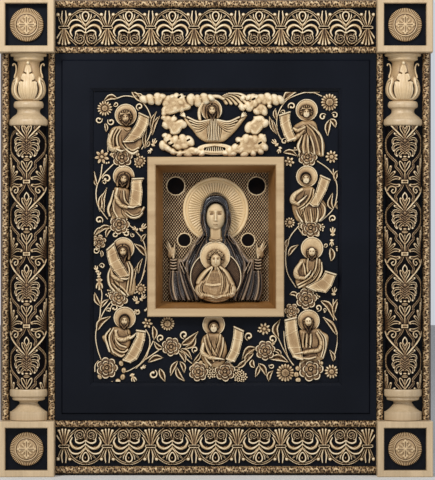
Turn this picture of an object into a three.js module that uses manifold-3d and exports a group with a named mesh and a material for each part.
// A carved wooden icon in a pillared wall case: a deep inner box holds the high-relief icon,
// a bordered field of haloed half figures in vines surrounds it, and the outer frame has four
// square corner blocks, two half columns and two pierced friezes.
// Millimetres. The model is drawn on the wall plane: x to the right, y up from the middle,
// z out of the wall. The last lines stand it up, so that +Z is up and the front faces -Y.

import * as THREE from "three";
import { mergeVertices } from "three/addons/utils/BufferGeometryUtils.js";
import Module from "manifold-3d";

const wasm = await Module();
wasm.setup();

// Overall sizes
const overallWidth = 634;
const overallHeight = 701;
const seatGap = 0.3; // glue line between pieces laid on one another
const cutOverrun = 1; // how far a cutting solid runs past what it cuts
const weldDistance = 0.0001;

// Case behind the frame
const caseDepth = 36;
const caseBoard = 15;
const backPanelThickness = 4;
const faceBoardThickness = 8;

// Outer frame
const railInset = 3; // from a block's outer face to the bead beside it
const beadWidth = 10;
const beadRise = 13;
const beadShoulder = 6; // height of a bead's straight sides
const columnRadius = 27;
const columnClearance = 2;
const columnSetback = 5; // from the face board to a column's axis

// Corner blocks
const blockRim = 9.5;
const blockDepth = 41.5;
const blockRecess = 15;
const blockChamfer = 1.2;

// Rosettes in the corner blocks
const rosetteMargin = 6;
const rosetteRingRise = 5;
const rosetteDiscRise = 9;
const rosetteFluteDepth = 0.9;
const rosetteFlutes = 15;
const rosetteDiscShare = 0.7;
const rosetteOrnamentRise = 2.4;

// Column pieces
const columnBaseHeight = 46;
const neckHeight = 36;
const capitalHeight = 70;
const shaftCarvingRise = 1.5;
const shaftCarvingSink = 1.2;
const palmetteRise = 3;
const shaftRepeat = 104;
const leafRise = 3.2;
const leafSink = 2;
const turnedSegments = 16;
const discSegments = 12;
const roundelSegments = 10;

// Friezes
const friezeRepeat = 63.5;
const friezeRise = 7;
const friezeMargin = 2.5;
const friezeEndMargin = 13;

// Field frame and relief panel
const fieldFrameWidth = 55.5;
const fieldFrameRise = 12;
const fieldLipWidth = 9;
const fieldLipDrop = 3;
const fieldStepWidth = 2;
const fieldBevelWidth = 5;
const fieldBevelDrop = 4;
const reliefPanelThickness = 6;

// Carved border on the relief panel
const foliageRise = 6;
const foliageMargin = 3;
const stemWidth = 3;
const haloThickness = 3;
const figureRise = 14;
const sleeveRise = 3;
const headRise = 8;
const scrollThickness = 7;
const figureClearance = 2; // from the inner box to the figures over and under it
const childBevel = 2;

// Inner box and its icon
const boxWidth = 200;
const boxHeight = 234;
const boxRim = 12;
const boxDepth = 60;
const boxSplay = 10;
const boxChamfer = 1.5;
const iconBoardThickness = 6;
const iconHaloRadius = 49;
const iconHaloThickness = 3.2;
const roundelRadius = 15;
const roundelRimWidth = 1.6;
const roundelRise = 2;
const robeThickness = 12;
const robeBevel = 4;
const veilRise = 26;
const medallionRadius = 38;
const medallionThickness = 6;
const childRise = 10;

// Keyhole hangers let into the back edges of the case's sides
const hangerLength = 60;
const hangerWidth = 11;
const hangerThickness = 2;
const hangerHeadRadius = 4;
const hangerSlotRadius = 2;
const hangerSlotLength = 9;
const hangerMortiseDepth = 8;
const hangerHeadRoom = 0.8;
const hangerInset = 60; // from the case's top to the keyhole

// Sizes that follow
const channelWidth = 2 * (columnRadius + columnClearance);
const railWidth = channelWidth + 2 * beadWidth;
const blockSide = railInset + railWidth;
const innerWidth = overallWidth - 2 * blockSide;
const innerHeight = overallHeight - 2 * blockSide;
const faceBoardBack = caseDepth + seatGap;
const faceLevel = faceBoardBack + faceBoardThickness; // the frame's black ground
const seatLevel = faceLevel + seatGap;
const overallDepth = seatLevel + blockDepth;
const panelWidth = innerWidth - 2 * seatGap;
const panelHeight = innerHeight - 2 * seatGap;
const reliefWidth = panelWidth - 2 * fieldFrameWidth;
const reliefHeight = panelHeight - 2 * fieldFrameWidth;
const reliefLevel = seatLevel + reliefPanelThickness;
const foliageSeat = reliefLevel + seatGap;
const overFoliage = foliageRise + seatGap; // where a figure may lie over the vine
const iconBoardBack = backPanelThickness + seatGap;
const iconLevel = iconBoardBack + iconBoardThickness;
const boxBack = iconLevel + seatGap;
const columnX = overallWidth / 2 - railInset - beadWidth - channelWidth / 2;
const railY = overallHeight / 2 - railInset - beadWidth - channelWidth / 2;
const blockX = (overallWidth - blockSide) / 2;
const blockY = (overallHeight - blockSide) / 2;

// Materials
const paleWood = new THREE.MeshStandardMaterial({ color: 0xcdae7f, roughness: 0.5, metalness: 0 });
const carvedWood = new THREE.MeshStandardMaterial({ color: 0xb8956a, roughness: 0.5, metalness: 0 });
const blackLacquer = new THREE.MeshStandardMaterial({ color: 0x14171f, roughness: 0.35, metalness: 0 });
const darkPatina = new THREE.MeshStandardMaterial({ color: 0x4a3828, roughness: 0.4, metalness: 0 });
const caseWood = new THREE.MeshStandardMaterial({ color: 0x5b4330, roughness: 0.6, metalness: 0 });
const steel = new THREE.MeshStandardMaterial({ color: 0xa9abad, roughness: 0.35, metalness: 1 });

const root = new THREE.Group();

// A closed mesh as a solid that can be joined and cut.
function solid(geometry) {
  const loose = geometry.index ? geometry.toNonIndexed() : geometry;
  const bare = new THREE.BufferGeometry();
  bare.setAttribute("position", loose.getAttribute("position"));
  const merged = mergeVertices(bare, weldDistance);
  return new wasm.Manifold(
    new wasm.Mesh({
      numProp: 3,
      vertProperties: merged.attributes.position.array,
      triVerts: new Uint32Array(merged.index.array),
    }),
  );
}

function geometryOf(body) {
  const made = body.getMesh();
  const geometry = new THREE.BufferGeometry();
  geometry.setAttribute("position", new THREE.BufferAttribute(made.vertProperties, made.numProp));
  geometry.setIndex(new THREE.BufferAttribute(made.triVerts, 1));
  geometry.computeVertexNormals();
  return geometry;
}

const joined = (bodies) => bodies.reduce((whole, body) => whole.add(body));

function piece(name, geometry, material) {
  const mesh = new THREE.Mesh(geometry, material);
  mesh.name = name;
  root.add(mesh);
  return mesh;
}

// A board with its back on z = 0.
const slab = (width, height, thickness) =>
  new THREE.BoxGeometry(width, height, thickness).translate(0, 0, thickness / 2);

function rectangle(path, width, height) {
  path.moveTo(-width / 2, -height / 2);
  path.lineTo(width / 2, -height / 2);
  path.lineTo(width / 2, height / 2);
  path.lineTo(-width / 2, height / 2);
  path.closePath();
  return path;
}

// A board with a rectangular window.
function window(width, height, openWidth, openHeight, thickness) {
  const shape = rectangle(new THREE.Shape(), width, height);
  shape.holes.push(rectangle(new THREE.Path(), openWidth, openHeight));
  return new THREE.ExtrudeGeometry(shape, { depth: thickness, bevelEnabled: false });
}

// A moulding mitred round a rectangle. The profile lists [inset from the outer edge, height],
// up the outer face, across the front and down the inner face.
function mitredFrame(width, height, profile) {
  const signs = [[1, 1], [-1, 1], [-1, -1], [1, -1]];
  const positions = [];
  const corner = ([inset, rise], [signX, signY]) => [
    signX * (width / 2 - inset),
    signY * (height / 2 - inset),
    rise,
  ];
  profile.forEach((low, i) => {
    const high = profile[(i + 1) % profile.length];
    signs.forEach((from, j) => {
      const to = signs[(j + 1) % signs.length];
      positions.push(...corner(low, from), ...corner(low, to), ...corner(high, to));
      positions.push(...corner(low, from), ...corner(high, to), ...corner(high, from));
    });
  });
  const geometry = new THREE.BufferGeometry();
  geometry.setAttribute("position", new THREE.Float32BufferAttribute(positions, 3));
  return geometry;
}

const flat = (x, y, z) => [x, y, z];

// Points along a smooth line through a few chosen ones.
function smooth(points, steps) {
  const curve = new THREE.CatmullRomCurve3(points.map(([x, y]) => new THREE.Vector3(x, y, 0)));
  return curve.getPoints(steps).map((p) => [p.x, p.y]);
}

// A value that runs evenly through a short list as t goes from 0 to 1.
function along(values, t) {
  const at = t * (values.length - 1);
  const low = Math.min(Math.floor(at), values.length - 2);
  return values[low] + (values[low + 1] - values[low]) * (at - low);
}

// A carved stroke: a ridge over a path, with half widths and heights that run along it.
// The surface maps (x, y, height) to a place, so that strokes lie on flat or turned ground.
function stroke(path, halfWidths, rises, floor = 0, surface = flat) {
  const left = [];
  const right = [];
  const top = [];
  path.forEach(([x, y], i) => {
    const [beforeX, beforeY] = path[Math.max(i - 1, 0)];
    const [afterX, afterY] = path[Math.min(i + 1, path.length - 1)];
    const length = Math.hypot(afterX - beforeX, afterY - beforeY);
    const t = i / (path.length - 1);
    const half = along(halfWidths, t);
    const sideX = (-(afterY - beforeY) / length) * half;
    const sideY = ((afterX - beforeX) / length) * half;
    left.push(surface(x + sideX, y + sideY, floor));
    right.push(surface(x - sideX, y - sideY, floor));
    top.push(surface(x, y, along(rises, t)));
  });
  const positions = [];
  const face = (...corners) => corners.forEach((corner) => positions.push(...corner));
  for (let i = 0; i + 1 < path.length; i += 1) {
    face(left[i], top[i], top[i + 1], left[i], top[i + 1], left[i + 1]);
    face(right[i], right[i + 1], top[i + 1], right[i], top[i + 1], top[i]);
    face(left[i], left[i + 1], right[i + 1], left[i], right[i + 1], right[i]);
  }
  const last = path.length - 1;
  face(left[0], right[0], top[0], left[last], top[last], right[last]);
  const geometry = new THREE.BufferGeometry();
  geometry.setAttribute("position", new THREE.Float32BufferAttribute(positions, 3));
  return solid(geometry);
}

// A lobed form, such as a leaf or a blossom: it rises from its outline to a peak, straight or
// over a rounded shoulder. The outline turns anticlockwise round the peak, whose place is given.
const straightShares = [];
const roundedShares = [[0.6, 0.75]];

function lobed(outline, [peakX, peakY], rise, shoulderShares, floor = 0, surface = flat) {
  const rings = [[1, floor], ...shoulderShares.map(([share, height]) => [share, height * rise])].map(
    ([share, height]) =>
      outline.map(([x, y]) => surface(peakX + (x - peakX) * share, peakY + (y - peakY) * share, height)),
  );
  const foot = surface(peakX, peakY, floor);
  const peak = surface(peakX, peakY, rise);
  const crown = rings[rings.length - 1];
  const positions = outline.flatMap((_, i) => {
    const next = (i + 1) % outline.length;
    const faces = [foot, rings[0][next], rings[0][i], crown[i], crown[next], peak];
    for (let j = 1; j < rings.length; j += 1) {
      const [low, high] = [rings[j - 1], rings[j]];
      faces.push(low[i], low[next], high[next], low[i], high[next], high[i]);
    }
    return faces.flat();
  });
  const geometry = new THREE.BufferGeometry();
  geometry.setAttribute("position", new THREE.Float32BufferAttribute(positions, 3));
  return solid(geometry);
}

// The other half of an outline that starts and ends on the line x = 0.
const closedOutline = (half) => [...half, ...mirrored(half).reverse().slice(1, -1)];

// A low dome with its flat base on z = 0.
function dome(radiusX, radiusY, rise, segments, rings) {
  const quarter = Array.from({ length: rings + 1 }, (_, i) => {
    const angle = (i / rings) * (Math.PI / 2);
    return new THREE.Vector2(Math.sin(angle), Math.cos(angle));
  });
  quarter[0].x = 0;
  const profile = [new THREE.Vector2(0, 0), new THREE.Vector2(1, 0), ...quarter.reverse().slice(1)];
  return new THREE.LatheGeometry(profile, segments)
    .rotateX(Math.PI / 2)
    .scale(radiusX, radiusY, rise);
}

const domeAt = (x, y, z, radiusX, radiusY, rise, segments = 8, rings = 3) =>
  solid(dome(radiusX, radiusY, rise, segments, rings).translate(x, y, z));

const discAt = (x, y, z, radius, thickness, segments) =>
  solid(
    new THREE.CylinderGeometry(radius, radius, thickness, segments)
      .rotateX(Math.PI / 2)
      .translate(x, y, z + thickness / 2),
  );

// A flat piece with a closed outline.
function plate(outline, thickness) {
  const shape = new THREE.Shape(outline.map(([x, y]) => new THREE.Vector2(x, y)));
  return solid(new THREE.ExtrudeGeometry(shape, { depth: thickness, bevelEnabled: false }));
}

// A raised form with softened edges over a closed outline.
function pad(outline, thickness, bevel) {
  const shape = new THREE.Shape(outline.map(([x, y]) => new THREE.Vector2(x, y)));
  const geometry = new THREE.ExtrudeGeometry(shape, {
    depth: thickness - 2 * bevel,
    bevelThickness: bevel,
    bevelSize: bevel,
    bevelOffset: -bevel,
    bevelSegments: 1,
  });
  return solid(geometry.translate(0, 0, bevel));
}

const scaled = (shares, sizeX, sizeY = sizeX) => shares.map(([x, y]) => [x * sizeX, y * sizeY]);
const mirrored = (path) => path.map(([x, y]) => [-x, y]);
const moved = (path, dx, dy) => path.map(([x, y]) => [x + dx, y + dy]);

// The case: four boards round a thin back panel, and the black board that carries the frame
function buildCase() {
  const acrossWidth = overallWidth - 2 * (caseBoard + seatGap);
  for (const [name, side] of [["left", -1], ["right", 1]]) {
    const x = (side * (overallWidth - caseBoard)) / 2;
    const y = overallHeight / 2 - hangerInset;
    const board = solid(slab(caseBoard, overallHeight, caseDepth).translate(x, 0, 0));
    const cuts = hangerCuts().map((cut) => solid(cut.translate(x, y, 0)));
    piece("case_side_" + name, geometryOf(board.subtract(joined(cuts))), caseWood);
    piece("keyhole_hanger_" + name, hangerPlate().translate(x, y, 0), steel);
  }
  for (const [name, side] of [["top", 1], ["bottom", -1]]) {
    const board = slab(acrossWidth, caseBoard, caseDepth);
    piece("case_" + name, board.translate(0, (side * (overallHeight - caseBoard)) / 2, 0), caseWood);
  }
  const backHeight = overallHeight - 2 * (caseBoard + seatGap);
  piece("back_panel", slab(acrossWidth, backHeight, backPanelThickness), caseWood);

  const windowWidth = boxWidth + 2 * seatGap;
  const windowHeight = boxHeight + 2 * seatGap;
  const faceWidth = overallWidth - 2 * railInset;
  const faceHeight = overallHeight - 2 * railInset;
  const face = window(faceWidth, faceHeight, windowWidth, windowHeight, faceBoardThickness);
  piece("face_board", face.translate(0, 0, faceBoardBack), blackLacquer);
}

// A steel plate with a keyhole whose slot runs up from the middle of the plate.
function hangerPlate() {
  const shape = rectangle(new THREE.Shape(), hangerLength, hangerWidth);
  const reach = Math.asin(hangerSlotRadius / hangerHeadRadius);
  const hole = new THREE.Path();
  hole.absarc(0, 0, hangerHeadRadius, reach, 2 * Math.PI - reach, false);
  hole.absarc(hangerSlotLength, 0, hangerSlotRadius, -Math.PI / 2, Math.PI / 2, false);
  shape.holes.push(hole);
  const plate = new THREE.ExtrudeGeometry(shape, {
    depth: hangerThickness,
    bevelEnabled: false,
    curveSegments: 5,
  });
  return plate.rotateZ(Math.PI / 2);
}

// The pocket that takes a plate, and the mortise behind its keyhole for the screw's head.
function hangerCuts() {
  const pocketDepth = hangerThickness + seatGap + cutOverrun;
  const pocket = slab(hangerWidth + 2 * seatGap, hangerLength + 2 * seatGap, pocketDepth);
  const headRoom = hangerHeadRadius + hangerHeadRoom;
  const mortise = slab(2 * headRoom, 2 * headRoom + hangerSlotLength, hangerMortiseDepth + cutOverrun);
  return [
    pocket.translate(0, 0, -cutOverrun),
    mortise.translate(0, hangerSlotLength / 2, -cutOverrun),
  ];
}

// A corner block: mitred rim, black plate set back in it, and a fluted rosette
function buildCorner(name, signX, signY) {
  const centre = [signX * blockX, signY * blockY];
  const rim = mitredFrame(blockSide, blockSide, [
    [0, 0],
    [0, blockDepth - blockChamfer],
    [blockChamfer, blockDepth],
    [blockRim - blockChamfer, blockDepth],
    [blockRim, blockDepth - blockChamfer],
    [blockRim, 0],
  ]);
  piece("corner_frame_" + name, rim.translate(...centre, seatLevel), paleWood);

  const plateSide = blockSide - 2 * (blockRim + seatGap);
  const plateThickness = blockDepth - blockRecess;
  const plate = slab(plateSide, plateSide, plateThickness);
  piece("corner_plate_" + name, plate.translate(...centre, seatLevel), blackLacquer);

  const rosetteSeat = seatLevel + plateThickness + seatGap;
  const rosette = rosetteSolid(plateSide / 2 - rosetteMargin);
  piece("corner_rosette_" + name, rosette.translate(...centre, rosetteSeat), paleWood);
}

// How far the ornament's four petals and the notches between them reach.
const rosettePetalShares = [0.9, 0.36];

function rosetteSolid(radius) {
  const flutes = Array.from({ length: 2 * rosetteFlutes }, (_, i) => {
    const reach = radius - (i % 2) * rosetteFluteDepth;
    const angle = (i * Math.PI) / rosetteFlutes;
    return new THREE.Vector2(reach * Math.cos(angle), reach * Math.sin(angle));
  });
  const ring = new THREE.ExtrudeGeometry(new THREE.Shape(flutes), {
    depth: rosetteRingRise,
    bevelEnabled: false,
  });
  const discRadius = radius * rosetteDiscShare;
  const ornament = lobed(
    Array.from({ length: 4 * rosettePetalShares.length }, (_, i) => {
      const angle = (i * Math.PI) / (2 * rosettePetalShares.length);
      const reach = discRadius * rosettePetalShares[i % rosettePetalShares.length];
      return [reach * Math.cos(angle), reach * Math.sin(angle)];
    }),
    [0, 0],
    rosetteDiscRise + rosetteOrnamentRise,
    roundedShares,
    rosetteRingRise,
  );
  const disc = discAt(0, 0, 0, discRadius, rosetteDiscRise, discSegments);
  return geometryOf(joined([solid(ring), disc, ornament]));
}

// Carved beads on both sides of every rail
function bead(length) {
  const half = beadWidth / 2;
  const arcSteps = 5;
  const shape = new THREE.Shape();
  shape.moveTo(-half, 0);
  shape.lineTo(half, 0);
  for (let i = 0; i <= arcSteps; i += 1) {
    const angle = (i / arcSteps) * Math.PI;
    const rise = beadShoulder + (beadRise - beadShoulder) * Math.sin(angle);
    shape.lineTo(half * Math.cos(angle), rise);
  }
  const geometry = new THREE.ExtrudeGeometry(shape, { depth: length, bevelEnabled: false });
  return geometry.translate(0, 0, -length / 2).rotateY(Math.PI / 2).rotateX(Math.PI / 2);
}

function buildBeads() {
  const outer = railInset + beadWidth / 2;
  const inner = blockSide - beadWidth / 2;
  for (const [place, inset] of [["outer", outer], ["inner", inner]]) {
    for (const [name, sign] of [["top", 1], ["bottom", -1]]) {
      const y = sign * (overallHeight / 2 - inset);
      const across = bead(innerWidth - 2 * seatGap);
      piece(`${name}_${place}_bead`, across.translate(0, y, seatLevel), carvedWood);
    }
    for (const [name, sign] of [["left", -1], ["right", 1]]) {
      const x = sign * (overallWidth / 2 - inset);
      const upright = bead(innerHeight - 2 * seatGap).rotateZ(Math.PI / 2);
      piece(`${name}_${place}_bead`, upright.translate(x, 0, seatLevel), carvedWood);
    }
  }
}

// Half columns. A turned form is cut flat where it meets the face board.
function halfTurned(profile, height) {
  const points = profile.map(
    ([radiusShare, heightShare]) =>
      new THREE.Vector2(radiusShare * columnRadius, heightShare * height),
  );
  const turned = new THREE.LatheGeometry(
    [new THREE.Vector2(0, 0), ...points, new THREE.Vector2(0, height)],
    turnedSegments,
  ).translate(0, 0, columnSetback);
  const reach = 2 * channelWidth;
  return solid(turned).intersect(solid(slab(reach, 4 * height, reach)));
}

const baseProfileShares = [
  [1.01, 0], [1.01, 0.27], [0.84, 0.32], [0.6, 0.45],
  [0.56, 0.58], [0.78, 0.72], [1.03, 0.8], [1.03, 1],
];
const neckProfileShares = [
  [1.02, 0], [1.06, 0.14], [1.02, 0.28], [0.96, 0.36], [0.68, 0.5],
  [0.63, 0.62], [0.8, 0.7], [0.84, 0.84], [0.74, 1],
];
const capitalProfileShares = [
  [0.6, 0], [0.86, 0.09], [0.95, 0.26], [0.88, 0.46], [0.7, 0.68],
  [0.66, 0.84], [0.82, 0.86], [0.84, 0.92], [1, 0.94], [1, 1],
];

// The turned radius at a height, for what is carved on it.
function radiusAt(profile, heightShare) {
  const next = profile.findIndex(([, at]) => at >= heightShare);
  const [highRadius, high] = profile[Math.max(next, 1)];
  const [lowRadius, low] = profile[Math.max(next, 1) - 1];
  return (lowRadius + ((highRadius - lowRadius) * (heightShare - low)) / (high - low)) * columnRadius;
}

// Acanthus leaves stand off the bell of the capital: three lobes a side under a curled tip.
const leafTurns = [-1, 0, 1];
const leafTurnAngle = 1.1;
const acanthusHalfShares = [
  [0, 0.02], [0.3, 0.08], [0.24, 0.2], [0.5, 0.3], [0.36, 0.42],
  [0.5, 0.56], [0.28, 0.62], [0.3, 0.78], [0, 0.83],
];
const acanthusPeakShare = [0, 0.5];

function capitalSolid() {
  const bell = halfTurned(capitalProfileShares, capitalHeight);
  const onBell = (turn) => (x, y, z) => {
    const radius = radiusAt(capitalProfileShares, y / capitalHeight);
    const angle = turn + x / columnRadius;
    return [(radius + z) * Math.sin(angle), y, columnSetback + (radius + z) * Math.cos(angle)];
  };
  const outline = scaled(closedOutline(acanthusHalfShares), columnRadius, capitalHeight);
  const [peak] = scaled([acanthusPeakShare], columnRadius, capitalHeight);
  const leaves = leafTurns.map((turn) =>
    lobed(outline, peak, leafRise, roundedShares, -leafSink, onBell(turn * leafTurnAngle)),
  );
  const reach = 2 * channelWidth;
  const front = solid(slab(reach, 4 * capitalHeight, reach));
  return geometryOf(joined([bell, ...leaves]).intersect(front));
}

// One repeat of the shaft's pattern, in shares of the radius and of the repeat: two stems that
// cross and swell round a palmette, with a bud above it.
const shaftStemShares = [
  [0, 0], [0.62, 0.14], [1.18, 0.34], [0.95, 0.55], [0.35, 0.72], [0.12, 0.86], [0, 1],
];
const shaftPalmetteHalfShares = [
  [0, 0.3], [0.3, 0.34], [0.8, 0.42], [0.34, 0.46], [0.6, 0.58], [0.2, 0.54], [0, 0.68],
];
const shaftPalmettePeakShare = [0, 0.42];
const shaftBudShares = [[0, 0.76], [0, 0.83], [0, 0.95]];
const shaftStemWidthShares = [0.05, 0.07, 0.05];
const shaftBudWidthShares = [0.04, 0.14, 0.02];

function shaftSolid(height) {
  const coreShares = [[1 - shaftCarvingRise / columnRadius, 0], [1 - shaftCarvingRise / columnRadius, 1]];
  const core = halfTurned(coreShares, height);
  const coreRadius = columnRadius - shaftCarvingRise;
  const onShaft = (x, y, z) => {
    const angle = x / columnRadius;
    return [(coreRadius + z) * Math.sin(angle), y, columnSetback + (coreRadius + z) * Math.cos(angle)];
  };
  const repeats = Math.max(1, Math.round(height / shaftRepeat));
  const pitch = height / repeats;
  const rises = [shaftCarvingRise, shaftCarvingRise, shaftCarvingRise];
  const carved = (shares, steps, widthShares, base) => {
    const path = moved(smooth(scaled(shares, columnRadius, pitch), steps), 0, base);
    const halves = widthShares.map((share) => share * columnRadius);
    return stroke(path, halves, rises, -shaftCarvingSink, onShaft);
  };
  const outline = scaled(closedOutline(shaftPalmetteHalfShares), columnRadius, pitch);
  const [peak] = scaled([shaftPalmettePeakShare], columnRadius, pitch);
  const strokes = [];
  for (let i = 0; i < repeats; i += 1) {
    const base = i * pitch;
    const [lifted] = moved([peak], 0, base);
    strokes.push(
      lobed(moved(outline, 0, base), lifted, palmetteRise, straightShares, -shaftCarvingSink, onShaft),
      carved(shaftBudShares, 2, shaftBudWidthShares, base),
      carved(shaftStemShares, 5, shaftStemWidthShares, base),
      carved(mirrored(shaftStemShares), 5, shaftStemWidthShares, base),
    );
  }
  const reach = 2 * channelWidth;
  const kept = solid(slab(reach, height, reach).translate(0, height / 2, 0));
  return geometryOf(joined([core, ...strokes]).intersect(kept));
}

function buildColumns() {
  const stackGaps = 5 * seatGap;
  const shaftHeight = innerHeight - columnBaseHeight - neckHeight - capitalHeight - stackGaps;
  const foot = seatGap - innerHeight / 2;
  for (const [name, side] of [["left", -1], ["right", 1]]) {
    const x = side * columnX;
    let y = foot;
    const stack = [
      ["base", geometryOf(halfTurned(baseProfileShares, columnBaseHeight)), columnBaseHeight, paleWood],
      ["shaft", shaftSolid(shaftHeight), shaftHeight, carvedWood],
      ["neck", geometryOf(halfTurned(neckProfileShares, neckHeight)), neckHeight, paleWood],
      ["capital", capitalSolid(), capitalHeight, paleWood],
    ];
    for (const [part, geometry, height, material] of stack) {
      piece(`column_${part}_${name}`, geometry.translate(x, y, seatLevel), material);
      y += height + seatGap;
    }
  }
}

// Friezes: a palmette on two volutes under an arch, with fans where the arches meet.
// Places are shares of half a repeat and of half the frieze's height.
const archShares = [[-1, -0.02], [-0.8, 0.6], [-0.3, 0.92], [0.3, 0.92], [0.8, 0.6], [1, -0.02]];
const palmetteHalfShares = [
  [0, -0.8], [0.3, -0.2], [0.84, 0.04], [0.38, 0.16], [0.5, 0.68], [0.16, 0.4], [0, 0.84],
];
const palmettePeakShare = [0, 0.08];
const voluteShares = [[1, -0.02], [0.78, -0.6], [0.3, -0.92], [0.06, -0.58], [0.4, -0.5]];
const fanHalfShares = [[0, -0.96], [0.14, -0.6], [0.36, -0.9], [0.17, -0.1], [0, 0.14]];
const fanPeakShare = [0, -0.3];
const archWidthShares = [0.06, 0.07, 0.06];
const voluteWidthShares = [0.07, 0.09, 0.05];

function friezeGeometry() {
  const usable = innerWidth - 2 * friezeEndMargin;
  const repeats = Math.max(1, Math.round(usable / friezeRepeat));
  const halfPitch = usable / repeats / 2;
  const halfHeight = channelWidth / 2 - friezeMargin;
  const rises = [friezeRise, friezeRise];
  const place = (shares, x) => moved(scaled(shares, halfPitch, halfHeight), x, 0);
  const carved = (shares, steps, widthShares, x) =>
    stroke(smooth(place(shares, x), steps), widthShares.map((share) => share * halfPitch), rises);
  const swelling = (halfShares, peakShare, shoulderShares, x) =>
    lobed(place(closedOutline(halfShares), x), place([peakShare], x)[0], friezeRise, shoulderShares);
  const strokes = [];
  for (let i = 0; i < repeats; i += 1) {
    const x = (2 * i + 1 - repeats) * halfPitch;
    strokes.push(
      carved(archShares, 5, archWidthShares, x),
      swelling(palmetteHalfShares, palmettePeakShare, roundedShares, x),
      carved(voluteShares, 4, voluteWidthShares, x),
      carved(mirrored(voluteShares), 4, voluteWidthShares, x),
    );
  }
  for (let i = 0; i <= repeats; i += 1) {
    const x = (2 * i - repeats) * halfPitch;
    strokes.push(swelling(fanHalfShares, fanPeakShare, straightShares, x));
  }
  return geometryOf(joined(strokes));
}

function buildFriezes() {
  const top = friezeGeometry();
  piece("top_frieze", top.translate(0, railY, seatLevel), carvedWood);
  const bottom = friezeGeometry().rotateZ(Math.PI);
  piece("bottom_frieze", bottom.translate(0, -railY, seatLevel), carvedWood);
}

// The black field frame with its outer step and inner bevel, and the panel that it rings
function buildField() {
  const frame = mitredFrame(panelWidth, panelHeight, [
    [0, 0],
    [0, fieldFrameRise - fieldLipDrop],
    [fieldLipWidth, fieldFrameRise - fieldLipDrop],
    [fieldLipWidth + fieldStepWidth, fieldFrameRise],
    [fieldFrameWidth - fieldBevelWidth, fieldFrameRise],
    [fieldFrameWidth, fieldFrameRise - fieldBevelDrop],
    [fieldFrameWidth, 0],
  ]);
  piece("field_frame", frame.translate(0, 0, seatLevel), blackLacquer);
  const panel = window(
    reliefWidth - 2 * seatGap,
    reliefHeight - 2 * seatGap,
    boxWidth + 2 * seatGap,
    boxHeight + 2 * seatGap,
    reliefPanelThickness,
  );
  piece("relief_panel", panel.translate(0, 0, seatLevel), blackLacquer);
}

// The vine: it loops round each figure's place and ties in a flower under it. Rows are shares of
// half the relief panel, and the columns stand in the part of it that the inner box leaves free.
const sideRowShares = [0.84, 0.405, -0.078, -0.56];
const sideColumnShare = 0.422;
const rowPitch = ((sideRowShares[0] - sideRowShares[3]) / 3) * (reliefHeight / 2);
const besideBox = (reliefWidth - boxWidth) / 2 - 2 * foliageMargin;
const beyondBox = (reliefHeight - boxHeight) / 2 - 2 * foliageMargin;
const sideColumnX = boxWidth / 2 + foliageMargin + sideColumnShare * besideBox;
// A figure fills these shares of the distance between rows and of the free parts of the panel.
const figureRowShare = 0.77;
const figureBesideShare = 1.04;
const figureBeyondShare = 0.86;
const haloRadiusShare = 0.215;
const figureHeight = Math.min(
  figureRowShare * rowPitch,
  figureBesideShare * besideBox,
  figureBeyondShare * beyondBox,
);
const vineUnit = figureHeight / figureRowShare;
const haloRadius = haloRadiusShare * figureHeight;
const torsoHalfShares = [[0, -0.7], [0.19, -0.66], [0.26, -0.4], [0.21, -0.18], [0, -0.08]];
const [[, footShare]] = torsoHalfShares;
const footDrop = -footShare * figureHeight;
const overBox = boxHeight / 2 + figureClearance + footDrop;
const underBox = boxHeight / 2 + figureClearance + haloRadius;

const outerLoopShares = [[0.06, 0.02], [0.31, 0.13], [0.41, 0.45], [0.36, 0.8], [0.05, 0.98]];
const innerLoopShares = [[0.06, 0.02], [0.23, 0.13], [0.28, 0.45], [0.25, 0.8], [0.05, 0.98]];
const outerLeafShares = [
  [[0.41, 0.45], [0.34, 0.62], [0.3, 0.8]],
  [[0.31, 0.13], [0.38, 0.06], [0.42, -0.07]],
];
const topSprigShares = [
  [[0.25, 0.8], [0.41, 0.82], [0.53, 0.92]],
  [[0.28, 0.45], [0.42, 0.38], [0.55, 0.42]],
];
const flowerRadiusShare = 0.1;
const flowerPetals = 5;
const petalNotchShare = 0.7;
const leafHalfShares = [0.01, 0.045, 0.008];

function flower(x, y, radius, rise) {
  const outline = Array.from({ length: 2 * flowerPetals }, (_, i) => {
    const reach = radius * (i % 2 ? petalNotchShare : 1);
    const angle = (i * Math.PI) / flowerPetals;
    return [x + reach * Math.cos(angle), y + reach * Math.sin(angle)];
  });
  return lobed(outline, [x, y], rise, straightShares);
}

const leafRises = [foliageRise / 2, foliageRise, foliageRise / 2];

// One loop of the vine, from a flower under the figure to one over it, with its leaves. Places
// are shares of the vine's unit: up from the lower flower to a half, and then down from the upper.
function vineLoop(x, lowY, highY, side, sprigShares) {
  const half = stemWidth / 2;
  const halves = leafHalfShares.map((share) => share * vineUnit);
  const loops = [
    [side, outerLoopShares, outerLeafShares],
    [-side, innerLoopShares, sprigShares],
  ];
  return loops.flatMap(([hand, loopShares, leafPlaceShares]) => {
    const heightAt = (v) => (v < 0.5 ? lowY + v * vineUnit : highY - (1 - v) * vineUnit);
    const place = (shares) => shares.map(([u, v]) => [x + hand * u * vineUnit, heightAt(v)]);
    const stem = stroke(smooth(place(loopShares), 8), [half, half], [foliageRise / 2, foliageRise / 2]);
    return [stem, ...leafPlaceShares.map((shares) => stroke(place(shares), halves, leafRises))];
  });
}

// The swag that joins both sides along the foot, from its middle flower to one side: shares of
// the way out to the column, and of the vine's unit over the middle flower.
const swagShares = [[0.268, 0.05], [0.483, 0.18], [0.698, 0.435]];
const swagFlowers = 2; // on the first points of each half
const swagLeafShares = [
  [[0.698, 0.435], [0.62, 0.565], [0.51, 0.65]],
  [[0.698, 0.445], [0.738, 0.22], [0.738, -0.05]],
];

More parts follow.
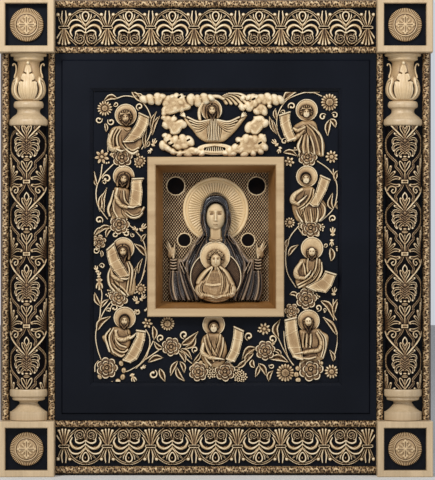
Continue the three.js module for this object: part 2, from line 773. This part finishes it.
function buildFoliage() {
  const halfHeight = reliefHeight / 2;
  const flowerRadius = flowerRadiusShare * vineUnit;
  const bloom = ([x, y]) => flower(x, y, flowerRadius, foliageRise);
  const underFoot = footDrop + flowerRadius + figureClearance / 2;
  const flowerRows = [
    halfHeight - foliageMargin - flowerRadius,
    ...sideRowShares.map((row) => row * halfHeight - underFoot),
  ];
  const middle = [0, -underBox - underFoot];
  const swagPlaces = (shares, side) => moved(scaled(shares, side * sideColumnX, vineUnit), ...middle);
  const leafHalves = leafHalfShares.map((share) => share * vineUnit);
  const parts = [bloom(middle)];
  for (const side of [-1, 1]) {
    const x = side * sideColumnX;
    parts.push(...flowerRows.map((y) => bloom([x, y])));
    for (let i = 1; i < flowerRows.length; i += 1) {
      const sprigShares = i === 1 ? topSprigShares : [];
      parts.push(...vineLoop(x, flowerRows[i], flowerRows[i - 1], side, sprigShares));
    }
    parts.push(...swagPlaces(swagShares, side).slice(0, swagFlowers).map(bloom));
    for (const shares of swagLeafShares) {
      parts.push(stroke(swagPlaces(shares, side), leafHalves, leafRises));
    }
  }
  const swagEnd = [sideColumnX, flowerRows[flowerRows.length - 1]];
  const swagHalf = [...swagPlaces(swagShares, 1), swagEnd];
  const swag = smooth([...mirrored(swagHalf).reverse(), middle, ...swagHalf], 8);
  parts.push(stroke(swag, [stemWidth / 2, stemWidth / 2], [foliageRise / 2, foliageRise / 2]));
  const keep = slab(reliefWidth - 2 * foliageMargin, reliefHeight - 2 * foliageMargin, foliageRise);
  const vine = joined(parts).intersect(solid(keep));
  piece("vine_border", geometryOf(vine).translate(0, 0, foliageSeat), carvedWood);
}

// Cloud banks that arch over the upper middle figure, as unbroken billows.
const cloudShares = [
  [-1, -0.8, 0.34], [-1, -0.1, 0.36], [-0.94, 0.6, 0.36], [-0.6, 0.94, 0.34], [-0.2, 1, 0.34],
  [0.2, 1, 0.34], [0.6, 0.94, 0.34], [0.94, 0.6, 0.36], [1, -0.1, 0.36], [1, -0.8, 0.34],
];
const cloudWidthShare = 0.36;
const billowWidthShare = 0.87;

function buildClouds() {
  const halfWidth = (cloudWidthShare * reliefWidth) / 2;
  const halfHeight = beyondBox / 2;
  const centreY = (reliefHeight + boxHeight) / 4;
  const billows = cloudShares.map(([u, v, size]) => {
    const high = size * halfHeight;
    const wide = size * billowWidthShare * halfWidth;
    const x = u * (halfWidth - wide);
    const y = v * (halfHeight - high) + centreY;
    return domeAt(x, y, 0, wide, high, foliageRise, 6, 2);
  });
  piece("cloud_garland", geometryOf(joined(billows)).translate(0, 0, foliageSeat), carvedWood);
}

// A haloed half figure with a scroll, in shares of the figure's height about the halo's centre.
const torsoPeakShare = [0, -0.38];
const sleeveShares = [[0.2, -0.24], [0.2, -0.52], [-0.02, -0.5]];
const sleeveWidthShares = [0.06, 0.09, 0.04];
const scrollShares = [[-0.06, -0.6], [0.06, -0.48], [-0.24, 0.06], [-0.36, 0]];
const armShares = [[0.12, -0.3], [0.34, -0.36], [0.56, -0.2]];
const armWidthShares = [0.08, 0.09, 0.03];
const headPlaceShare = -0.01;
const headHalfShares = [0.085, 0.125];

function halfFigure(name, x, y, hand, spread) {
  const size = figureHeight;
  const flip = (shares) => {
    const path = scaled(shares, size);
    return hand > 0 ? path : mirrored(path).reverse();
  };
  const halo = discAt(0, 0, overFoliage, haloRadius, haloThickness, discSegments);
  const outline = scaled(closedOutline(torsoHalfShares), size);
  const [torsoPeak] = scaled([torsoPeakShare], size);
  const torso = lobed(outline, torsoPeak, figureRise, roundedShares);
  const headBase = overFoliage + haloThickness / 2;
  const [headHalfX, headHalfY] = headHalfShares.map((share) => share * size);
  const head = domeAt(0, headPlaceShare * size, headBase, headHalfX, headHalfY, headRise, 7, 2);
  const parts = [halo, torso, head];
  if (spread) {
    for (const reach of [-1, 1]) {
      const arm = scaled(armShares, reach * size, size);
      const halves = armWidthShares.map((share) => share * size);
      parts.push(stroke(arm, halves, [figureRise + sleeveRise, figureRise, headBase], overFoliage));
    }
  } else {
    const page = plate(flip(scrollShares), scrollThickness).translate(0, 0, overFoliage);
    const halves = sleeveWidthShares.map((share) => share * size);
    const rises = [figureRise, figureRise + sleeveRise, figureRise + sleeveRise / 2];
    parts.push(page, stroke(scaled(sleeveShares, hand * size, size), halves, rises, overFoliage));
  }
  piece(name, geometryOf(joined(parts)).translate(x, y, foliageSeat), carvedWood);
}

function buildFigures() {
  const rows = ["upper", "second", "third", "lower"];
  rows.forEach((row, i) => {
    const y = (sideRowShares[i] * reliefHeight) / 2;
    halfFigure("half_figure_left_" + row, -sideColumnX, y, i % 2 ? 1 : -1, false);
    halfFigure("half_figure_right_" + row, sideColumnX, y, i % 2 ? -1 : 1, false);
  });
  halfFigure("half_figure_top_middle", 0, overBox, 1, true);
  halfFigure("half_figure_bottom_middle", 0, -underBox, -1, false);
}

// The deep box with splayed walls that holds the icon
function buildBox() {
  const walls = mitredFrame(boxWidth, boxHeight, [
    [0, 0],
    [0, boxDepth - boxChamfer],
    [boxChamfer, boxDepth],
    [boxRim - boxChamfer, boxDepth],
    [boxRim, boxDepth - boxChamfer],
    [boxRim + boxSplay, 0],
  ]);
  piece("icon_box", walls.translate(0, 0, boxBack), paleWood);
}

// The icon: ground board with four roundels, ribbed halo, veiled figure with raised hands,
// and the medallion with the child before it. Places are shares of half the ground's sizes.
const roundelPlaceShares = [[-0.76, 0.79], [0.77, 0.79], [-0.6, -0.05], [0.61, -0.05]];
const roundelSizeShares = [1, 1, 0.77, 0.77];
const haloPlaceShare = 0.42;
const medallionPlaceShare = -0.62;
const robeShares = [
  [-0.21, 0.19], [-0.32, 0.05], [-0.48, -0.17], [-0.64, -0.35], [-0.75, -0.47], [-0.75, -0.38],
  [-0.88, -0.38], [-0.93, -0.58], [-0.9, -0.88], [-0.7, -0.97], [0.7, -0.97], [0.9, -0.88],
  [0.93, -0.58], [0.88, -0.38], [0.75, -0.38], [0.75, -0.47], [0.64, -0.35], [0.48, -0.17],
  [0.32, 0.05], [0.21, 0.19],
];
// Strokes of the figure: their path, then half widths in shares of the ground's half width, then
// heights in shares of the robe's thickness.
const palmShares = [
  [[0.81, -0.44], [0.81, -0.27], [0.84, -0.1], [0.9, -0.02]], [0.05, 0.07, 0.06, 0.02], [1, 1, 0.8, 0.5],
];
const thumbShares = [[[0.79, -0.27], [0.74, -0.15], [0.73, -0.06]], [0.03, 0.02], [0.8, 0.5]];
const forearmShares = [[[0.82, -0.92], [0.82, -0.38]], [0.1, 0.06], [1.4, 1.4]];
const robeFoldShares = [[[0.26, 0.06], [0.53, -0.27], [0.62, -0.92]], [0.03, 0.05, 0.02], [1, 1.3, 1]];
const neckShares = [[[0, 0.15], [0, -0.06]], [0.12, 0.16], [1.6, 1]];
// Domes of the figure: place, half sizes, and height in shares of the veil's rise.
const veilShares = [[0, 0.34], [0.29, 0.35], 1];
const faceShares = [[0, 0.29], [0.18, 0.21], 1.14];
const robeFootShare = -0.96;
const robeFootWidthShare = 1.3;

function buildIcon() {
  const groundX = boxWidth / 2 - boxRim - boxSplay;
  const groundY = boxHeight / 2 - boxRim - boxSplay;
  const rims = roundelPlaceShares.map(([u, v], i) => {
    const radius = roundelRadius * roundelSizeShares[i];
    const wellRadius = radius - roundelRimWidth;
    const wellDepth = roundelRise + cutOverrun;
    const [x, y] = [u * groundX, v * groundY];
    const ring = discAt(x, y, 0, radius, iconBoardThickness + roundelRise, roundelSegments);
    return ring.subtract(discAt(x, y, iconBoardThickness, wellRadius, wellDepth, roundelSegments));
  });
  const board = joined([solid(slab(boxWidth, boxHeight, iconBoardThickness)), ...rims]);
  piece("icon_ground_board", geometryOf(board).translate(0, 0, iconBoardBack), darkPatina);

  const haloY = haloPlaceShare * groundY;
  const figureBack = boxBack + iconHaloThickness + seatGap;
  const halo = new THREE.LatheGeometry(
    [
      [0, 0],
      [iconHaloRadius, 0],
      [iconHaloRadius, iconHaloThickness],
      [iconHaloRadius - 2 * roundelRimWidth, iconHaloThickness],
      [iconHaloRadius - 3 * roundelRimWidth, iconHaloThickness / 2],
      [0, iconHaloThickness / 2],
    ].map(([x, y]) => new THREE.Vector2(x, y)),
    24,
  );
  piece("icon_halo", halo.rotateX(Math.PI / 2).translate(0, haloY, boxBack), paleWood);
  piece("veiled_figure", veiledFigure(groundX, groundY, haloY).translate(0, 0, figureBack), darkPatina);
  const medallion = childMedallion();
  medallion.translate(0, medallionPlaceShare * groundY, figureBack + robeThickness + seatGap);
  piece("child_medallion", medallion, paleWood);
}

function veiledFigure(groundX, groundY, haloY) {
  const place = (shares) => scaled(shares, groundX, groundY);
  const body = pad(place(robeShares), robeThickness, robeBevel);
  const roundelFeet = roundelPlaceShares.map(
    ([, v], i) => v * groundY - roundelRadius * roundelSizeShares[i],
  );
  const footTop = Math.min(haloY - iconHaloRadius, ...roundelFeet) - cutOverrun;
  const footBottom = robeFootShare * groundY;
  const footThickness = iconHaloThickness + robeThickness / 2;
  const foot = slab(robeFootWidthShare * groundX, footTop - footBottom, footThickness);
  foot.translate(0, (footTop + footBottom) / 2, -iconHaloThickness);
  const rounded = ([[u, v], [halfU, halfV], riseShare], segments) => {
    const form = dome(halfU * groundX, halfV * groundY, riseShare * veilRise, segments, 3);
    return solid(form.translate(u * groundX, v * groundY, 0));
  };
  const carved = ([shares, widthShares, riseShares], side) =>
    stroke(
      side > 0 ? place(shares) : mirrored(place(shares)),
      widthShares.map((share) => share * groundX),
      riseShares.map((share) => share * robeThickness),
    );
  const parts = [body, solid(foot), carved(neckShares, 1)];
  parts.push(rounded(veilShares, 10), rounded(faceShares, 8));
  for (const side of [-1, 1]) {
    for (const shares of [palmShares, thumbShares, forearmShares, robeFoldShares]) {
      parts.push(carved(shares, side));
    }
  }
  const seatRadius = medallionRadius + cutOverrun;
  const seat = discAt(0, medallionPlaceShare * groundY, robeThickness, seatRadius, veilRise, 16);
  return geometryOf(joined(parts).subtract(seat));
}

const childBodyShares = [
  [-0.2, -0.02], [-0.56, -0.2], [-0.74, -0.5], [-0.66, -0.74],
  [0.66, -0.74], [0.74, -0.5], [0.56, -0.2], [0.2, -0.02],
];
// The child's arms: path and half widths in shares of the medallion's radius, and heights over
// the disc in shares of the body's rise.
const childArmShares = [
  [[0.6, -0.3], [0.7, -0.56], [0.34, -0.72], [0.04, -0.62]], [0.13, 0.15, 0.1], [1, 1.3, 1],
];
const childHaloShares = [0.72, 0.58]; // place and radius
const childHeadShares = [[0, 0.66], [0.25, 0.33], 1.5];

function childMedallion() {
  const size = medallionRadius;
  const disc = discAt(0, 0, 0, size, medallionThickness, 16);
  const [haloY, haloReach] = childHaloShares.map((share) => share * size);
  const halo = discAt(0, haloY, 0, haloReach, medallionThickness + haloThickness, discSegments);
  const body = pad(scaled(childBodyShares, size), childRise, childBevel);
  const rise = (share) => medallionThickness + share * childRise;
  const [[headU, headV], [headHalfU, headHalfV], headRiseShare] = childHeadShares;
  const head = dome(headHalfU * size, headHalfV * size, rise(headRiseShare), 8, 3);
  const [armPathShares, armHalfShares, armRiseShares] = childArmShares;
  const arms = [1, -1].map((side) => {
    const path = scaled(armPathShares, size);
    const halves = armHalfShares.map((share) => share * size);
    return stroke(side > 0 ? path : mirrored(path), halves, armRiseShares.map(rise));
  });
  head.translate(headU * size, headV * size, 0);
  return geometryOf(joined([disc, halo, body, solid(head), ...arms]));
}

buildCase();
for (const [name, signX, signY] of [
  ["top_left", -1, 1], ["top_right", 1, 1], ["bottom_left", -1, -1], ["bottom_right", 1, -1],
]) {
  buildCorner(name, signX, signY);
}
buildBeads();
buildColumns();
buildFriezes();
buildField();
buildFoliage();
buildClouds();
buildFigures();
buildBox();
buildIcon();

// Stand the model up, with its back against the wall side and its foot on z = 0.
root.rotation.x = Math.PI / 2;
root.position.set(0, overallDepth / 2, overallHeight / 2);

export default root;
